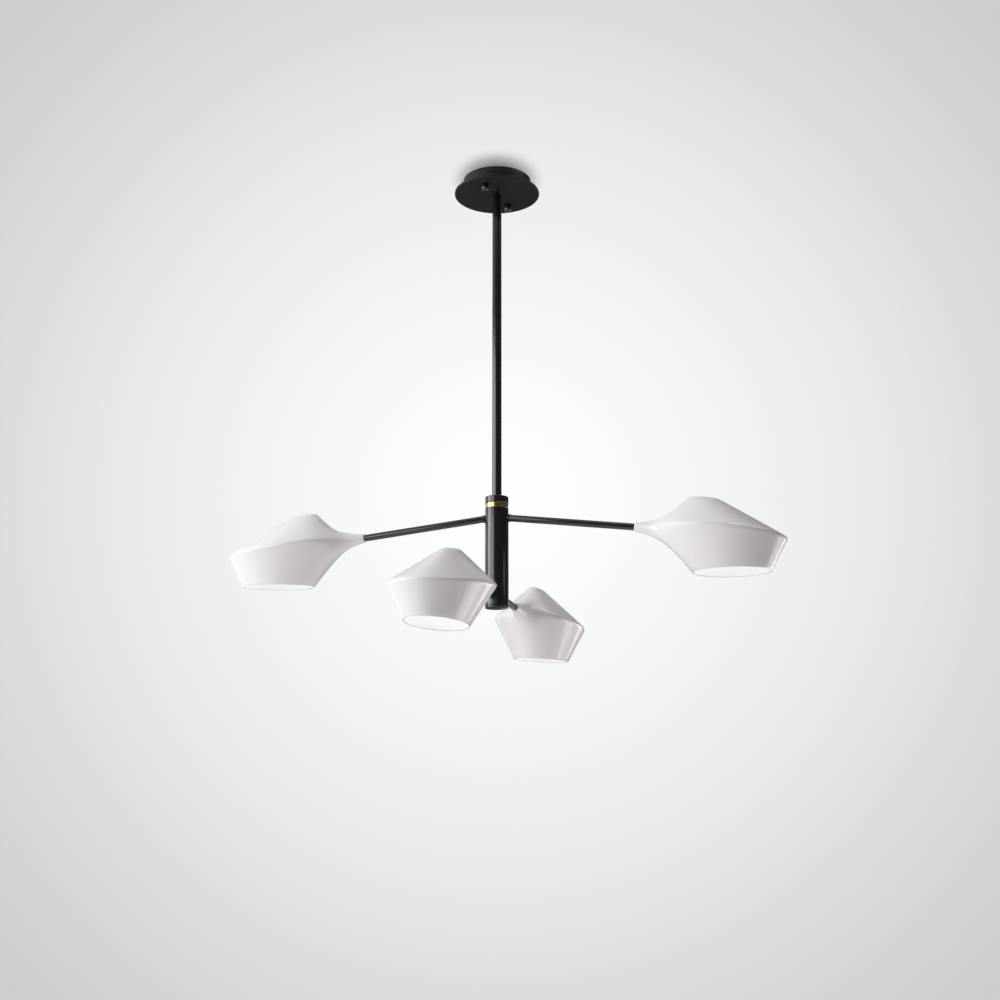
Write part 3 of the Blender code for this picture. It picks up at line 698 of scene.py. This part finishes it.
def arm_length(place):
    """Distance in millimetres from the hub's axis to the end of an arm, along the arm."""
    outwards = place.to_3x3() @ Vector((1.0, 0.0, 0.0))
    level = math.hypot(outwards.x, outwards.y)
    return math.hypot(place.translation.x, place.translation.y) / level / MM


def add_arm(name, place):
    """Tube and collar of one arm."""
    length = arm_length(place)
    tube = ring_outline(ARM_ROOT - length, -GAP, ARM_BORE, ARM_RADIUS, ARM_EDGE)
    add_turned(f"arm_{name}", tube, "X", BLACK, ARM_SIDES, place)
    start = HUB_RADIUS - length + COLLAR_START
    collar = ring_outline(
        start, start + COLLAR_THICKNESS, ARM_RADIUS + 0.1, COLLAR_RADIUS, COLLAR_EDGE,
    )
    add_turned(f"arm_collar_{name}", collar, "X", BLACK, ARM_SIDES, place)


def add_nipple(name, place):
    """Threaded hollow nipple, from inside the arm to the lampholder."""
    rings = thread(NIPPLE_START, NIPPLE_END, NIPPLE_RADIUS, NIPPLE_CORE, NIPPLE_PITCH)
    outline = [(NIPPLE_START, NIPPLE_BORE)] + rings + [(NIPPLE_END, NIPPLE_BORE)]
    add_turned(f"nipple_{name}", outline, "X", ZINC, NIPPLE_SIDES, place)


def add_cone_nut(name, place):
    """The nut that clamps the shade's neck: a cone that ends in a narrow flange."""
    bore = NIPPLE_RADIUS + GAP
    outline = rounded(
        (
            (CONE_NUT_START, bore), (CONE_NUT_START, CONE_NUT_NARROW),
            (CONE_NUT_END - CONE_NUT_FLANGE, CONE_NUT_WIDE - 0.4),
            (CONE_NUT_END, CONE_NUT_WIDE), (CONE_NUT_END, bore),
        ), CONE_NUT_EDGE,
    )
    add_turned(f"cone_nut_{name}", outline, "X", ZINC, ARM_SIDES, place)


def add_lampholder(name, place):
    """Ceramic holder: a chamfered end on the nipple, a shallow groove and a round socket."""
    bore = NIPPLE_RADIUS + GAP
    step = NIPPLE_END + GAP
    groove = HOLDER_RADIUS - HOLDER_GROOVE_DEPTH
    outline = rounded(
        (
            (HOLDER_START, bore), (HOLDER_START, HOLDER_RADIUS - 1.0),
            (HOLDER_START + HOLDER_SHOULDER, HOLDER_RADIUS), (HOLDER_GROOVE_START, HOLDER_RADIUS),
            (HOLDER_GROOVE_START + 0.6, groove), (HOLDER_GROOVE_END - 0.6, groove),
            (HOLDER_GROOVE_END, HOLDER_RADIUS), (HOLDER_END, HOLDER_RADIUS),
            (HOLDER_END, SOCKET_RADIUS), (SOCKET_BOTTOM, SOCKET_RADIUS),
            (SOCKET_BOTTOM, WIRE_HOLE), (step, WIRE_HOLE), (step, bore),
        ), HOLDER_EDGE,
    )
    add_turned(f"lampholder_{name}", outline, "X", CERAMIC, ARM_SIDES, place)


def add_bulb(name, place):
    """Pin base bulb: the base in its socket, a skirt and a frosted cover with a round end."""
    skirt_start = HOLDER_END + GAP
    outline = rounded(
        (
            (BULB_START, 0.0), (BULB_START, BULB_BASE), (skirt_start, BULB_BASE),
            (skirt_start, BULB_NECK), (BULB_SHOULDER, BULB_SKIRT),
            (BULB_SKIRT_END, BULB_SKIRT), (BULB_SKIRT_END + 1.0, BULB_RADIUS),
            (BULB_END - BULB_ROUNDING, BULB_RADIUS),
            (BULB_END - 1.6, BULB_NECK), (BULB_END, 0.0),
        ), BULB_EDGE,
    )
    add_turned(f"bulb_{name}", outline, "X", BULB, ARM_SIDES, place)


# Shades ------------------------------------------------------------------------------------


def blend(first, second, share):
    """Mix two loops number by number."""
    return tuple(a + (b - a) * share for a, b in zip(first, second))


def widening(sides):
    """How much wider a ring of this many corners has to be to keep its size when smoothed."""
    return 3.0 / (2.0 + math.cos(math.tau / sides))


def oval_loop(shape, loop):
    """Add one oval ring of vertices."""
    centre, half_length, half_width, height, rise = loop
    widen = widening(SHADE_SIDES)
    verts = []
    for number in range(SHADE_SIDES):
        angle = math.tau / SHADE_SIDES * number
        along = half_length * widen * math.cos(angle)
        across = half_width * widen * math.sin(angle)
        point = Vector((centre + along, across, height + along * rise))
        verts.append(shape.verts.new(point * MM))
    return verts


def neck_ring(shape, along, radius):
    """Add one round ring of the neck."""
    widen = widening(NECK_SIDES)
    verts = []
    for number in range(NECK_SIDES):
        angle = math.tau / NECK_SIDES * number
        across = radius * widen * math.cos(angle)
        rise = radius * widen * math.sin(angle)
        verts.append(shape.verts.new(Vector((along, across, rise)) * MM))
    return verts


def bridge(shape, first, second):
    """Join two rings of vertices with quads."""
    count = len(first)
    for number in range(count):
        after = (number + 1) % count
        shape.faces.new((first[number], first[after], second[after], second[number]))


def shade_cage():
    """The shade's coarse skin: ovals from top to rim, with the neck let into the narrow end."""
    shape = bmesh.new()
    crease = shape.edges.layers.float.new("crease_edge")
    loops = [oval_loop(shape, loop) for loop in (
        TOP_LOOP, blend(BELT_LOOP, TOP_LOOP, UPPER_BLEND), BELT_LOOP,
        blend(BELT_LOOP, RIM_LOOP, LOWER_BLEND), RIM_LOOP,
    )]
    top, upper, belt, lower, _ = loops
    shape.faces.new(top)
    for first, second in zip(loops, loops[1:]):
        bridge(shape, first, second)
    back = SHADE_SIDES // 2
    shape.verts.remove(belt[back])
    left, right = back - 1, back + 1
    mouth = [belt[left], upper[left], upper[back], upper[right],
             belt[right], lower[right], lower[back], lower[left]]
    rings = [mouth] + [neck_ring(shape, along, radius) for along, radius in NECK_RINGS]
    for first, second in zip(rings, rings[1:]):
        bridge(shape, first, second)
    for first, second in zip(top, top[1:] + top[:1]):
        shape.edges.get((first, second))[crease] = TOP_CREASE
    for number in range(SHADE_SIDES):
        after = (number + 1) % SHADE_SIDES
        if back in (number, after):
            continue
        near_neck = left in (number, after) or right in (number, after)
        edge = shape.edges.get((belt[number], belt[after]))
        edge[crease] = FADING_CREASE if near_neck else BELT_CREASE
    return shape


def add_shade(name, place):
    """Smooth enamelled shell with a painted glow on its inner face and a softened rim."""
    turn = Matrix.Rotation(math.radians(SHADE_TURNS[name]), 4, "X")
    cage = shade_cage()
    cage.transform(place @ turn)
    shade = add_mesh(f"fine_shade_{name}", cage, WHITE, sharp=None)
    shade.data.materials.append(INSIDE_PAINTED_GLOW)
    smooth = shade.modifiers.new("round", "SUBSURF")
    smooth.levels = SHADE_LEVELS
    smooth.render_levels = SHADE_LEVELS
    wall = shade.modifiers.new("wall", "SOLIDIFY")
    wall.thickness = SHADE_WALL * MM
    wall.offset = -1.0
    wall.use_even_offset = True
    wall.material_offset = 1
    edge = shade.modifiers.new("rim", "BEVEL")
    edge.width = SHADE_RIM_EDGE * MM
    edge.segments = 2
    edge.limit_method = "ANGLE"
    edge.angle_limit = math.radians(60.0)
    edge.use_clamp_overlap = True
    stand_for(shade, f"shade_{name}")


# Plain pieces ------------------------------------------------------------------------------


def finish_plain_nodes():
    """Give every CAD node its finish; the ones without a fine piece stay in view."""
    for name, node in frame["nodes"].items():
        node.data.materials.clear()
        node.data.materials.append(SLOTS[slot_of(name)])


# Studio ------------------------------------------------------------------------------------


def add_camera():
    """A level-headed camera below the light, pitched up, without shift."""
    data = bpy.data.cameras.new("camera")
    data.sensor_width = CAMERA_SENSOR
    data.lens = CAMERA_LENS
    data.clip_end = 60.0
    camera = bpy.data.objects.new("camera", data)
    bpy.context.scene.collection.objects.link(camera)
    turn = math.radians(CAMERA_TURN)
    camera.location = (
        CAMERA_DISTANCE * math.sin(turn), -CAMERA_DISTANCE * math.cos(turn), CAMERA_HEIGHT,
    )
    camera.rotation_euler = (
        math.radians(90.0 + CAMERA_PITCH), 0.0, turn - math.radians(CAMERA_YAW),
    )
    bpy.context.scene.camera = camera
    bpy.context.view_layer.update()
    return camera


def backdrop_colour(tree, towards):
    """Nodes for the backdrop's colour, which dims with the angle from one direction."""
    widest = BACKDROP[-1][0]
    direction = tree.nodes.new("ShaderNodeTexCoord")
    aligned = tree.nodes.new("ShaderNodeVectorMath")
    aligned.operation = "DOT_PRODUCT"
    aligned.inputs[1].default_value = towards
    tree.links.new(direction.outputs["Generated"], aligned.inputs[0])
    angle = tree.nodes.new("ShaderNodeMath")
    angle.operation = "ARCCOSINE"
    tree.links.new(aligned.outputs["Value"], angle.inputs[0])
    share = tree.nodes.new("ShaderNodeMath")
    share.operation = "DIVIDE"
    share.inputs[1].default_value = math.radians(widest)
    tree.links.new(angle.outputs[0], share.inputs[0])
    ramp = tree.nodes.new("ShaderNodeValToRGB")
    set_stops(ramp, [
        (degrees / widest, (level, level, level * BACKDROP_BLUE)) for degrees, level in BACKDROP
    ])
    tree.links.new(share.outputs[0], ramp.inputs["Fac"])
    return ramp.outputs["Color"]


def add_world(camera):
    """Pale backdrop, brightest behind the light, and a dimmer room for light and gloss."""
    world = bpy.data.worlds.new("studio")
    bpy.context.scene.world = world
    world.use_nodes = True
    tree = world.node_tree
    tree.nodes.clear()
    towards = camera.matrix_world.to_3x3() @ Vector((0.0, 0.0, -1.0))
    seen = tree.nodes.new("ShaderNodeBackground")
    tree.links.new(backdrop_colour(tree, towards), seen.inputs["Color"])
    room = tree.nodes.new("ShaderNodeBackground")
    room.inputs["Color"].default_value = (*AMBIENT, 1.0)
    path = tree.nodes.new("ShaderNodeLightPath")
    mix = tree.nodes.new("ShaderNodeMixShader")
    tree.links.new(path.outputs["Is Camera Ray"], mix.inputs["Fac"])
    tree.links.new(room.outputs[0], mix.inputs[1])
    tree.links.new(seen.outputs[0], mix.inputs[2])
    output = tree.nodes.new("ShaderNodeOutputWorld")
    tree.links.new(mix.outputs[0], output.inputs["Surface"])


def add_light(name, azimuth, elevation, distance, width, height, brightness, colour):
    """One soft box that faces the middle of the light."""
    data = bpy.data.lights.new(name, "AREA")
    data.shape = "RECTANGLE"
    data.size = width
    data.size_y = height
    data.energy = brightness * math.pi * width * height
    data.color = colour
    light = bpy.data.objects.new(name, data)
    bpy.context.scene.collection.objects.link(light)
    around, up = math.radians(azimuth), math.radians(elevation)
    offset = Vector((
        math.sin(around) * math.cos(up), -math.cos(around) * math.cos(up), math.sin(up),
    ))
    light.location = AIM + offset * distance
    light.rotation_euler = offset.to_track_quat("Z", "Y").to_euler()
    light.visible_camera = False


def add_disc(name, radius, material, place):
    """A flat disc."""
    shape = bmesh.new()
    bmesh.ops.create_circle(shape, cap_ends=True, segments=96, radius=radius)
    disc = add_mesh(name, shape, material, place)
    return disc


def fade_edge(paint, start, end):
    """Let a disc's paint turn transparent between two radii."""
    length = paint.node("ShaderNodeVectorMath", operation="LENGTH")
    paint.link(paint.where, length.inputs[0])
    alpha = paint.node("ShaderNodeMapRange", interpolation_type="SMOOTHSTEP")
    alpha.inputs["From Min"].default_value = start
    alpha.inputs["From Max"].default_value = end
    alpha.inputs["To Min"].default_value = 1.0
    alpha.inputs["To Max"].default_value = 0.0
    paint.link(length.outputs["Value"], alpha.inputs["Value"])
    paint.link(alpha.outputs["Result"], paint.shader.inputs["Alpha"])


def add_floor():
    """Plain pale floor far below, fading out at its edge."""
    paint = Finish("studio_floor", (0.8, 0.8, 0.8), 0.7)
    paint.glow((1.0, 0.9, 0.88), 0.3)
    paint.vary_colour(paint.noise(3.0, 4.0), (0.79, 0.79, 0.79), (0.81, 0.81, 0.81))
    fade_edge(paint, FLOOR_FADE * FLOOR_RADIUS, FLOOR_RADIUS)
    place = Matrix.Translation((0.0, 0.0, FLOOR_HEIGHT))
    add_disc("studio_floor", FLOOR_RADIUS, paint.material, place)


def shadow_film():
    """Clear film that darkens towards the middle of a disc of radius 1."""
    film = bpy.data.materials.new("ceiling_shadow")
    film.use_nodes = True
    tree = film.node_tree
    tree.nodes.clear()
    where = tree.nodes.new("ShaderNodeTexCoord")
    length = tree.nodes.new("ShaderNodeVectorMath")
    length.operation = "LENGTH"
    tree.links.new(where.outputs["Object"], length.inputs[0])
    ramp = tree.nodes.new("ShaderNodeValToRGB")
    set_stops(ramp, [(radius, (level, level, level)) for radius, level in SHADOW_STOPS])
    tree.links.new(length.outputs["Value"], ramp.inputs["Fac"])
    clear = tree.nodes.new("ShaderNodeBsdfTransparent")
    tree.links.new(ramp.outputs["Color"], clear.inputs["Color"])
    output = tree.nodes.new("ShaderNodeOutputMaterial")
    tree.links.new(clear.outputs[0], output.inputs["Surface"])
    return film


def add_ceiling_shadow():
    """Soft shade on the ceiling round the canopy drum, longer along the camera's direction."""
    place = (
        Matrix.Translation((0.0, 0.0, SHADOW_LIFT))
        @ Matrix.Rotation(math.radians(CAMERA_TURN), 4, "Z")
        @ Matrix.Diagonal((SHADOW_HALF_WIDTH, SHADOW_HALF_LENGTH, 1.0, 1.0))
    )
    disc = add_disc("ceiling_shadow", 1.0, shadow_film(), place)
    disc.visible_shadow = False
    disc.visible_diffuse = False
    disc.visible_glossy = False


def set_tones():
    """Plain display tones, so that white stays white."""
    scene = bpy.context.scene
    scene.view_settings.view_transform = "Standard"
    scene.view_settings.look = "None"
    scene.view_settings.exposure = 0.0
    scene.view_settings.gamma = 1.0


def main():
    """Dress the frame, light it and look at it."""
    finish_plain_nodes()
    add_canopy()
    add_rod()
    add_hub()
    for name, place in arm_places().items():
        add_arm(name, place)
        add_nipple(name, place)
        add_cone_nut(name, place)
        add_lampholder(name, place)
        add_bulb(name, place)
        add_shade(name, place)
    camera = add_camera()
    add_world(camera)
    for light in LIGHTS:
        add_light(*light)
    add_floor()
    add_ceiling_shadow()
    set_tones()


main()
bpy.context.view_layer.update()
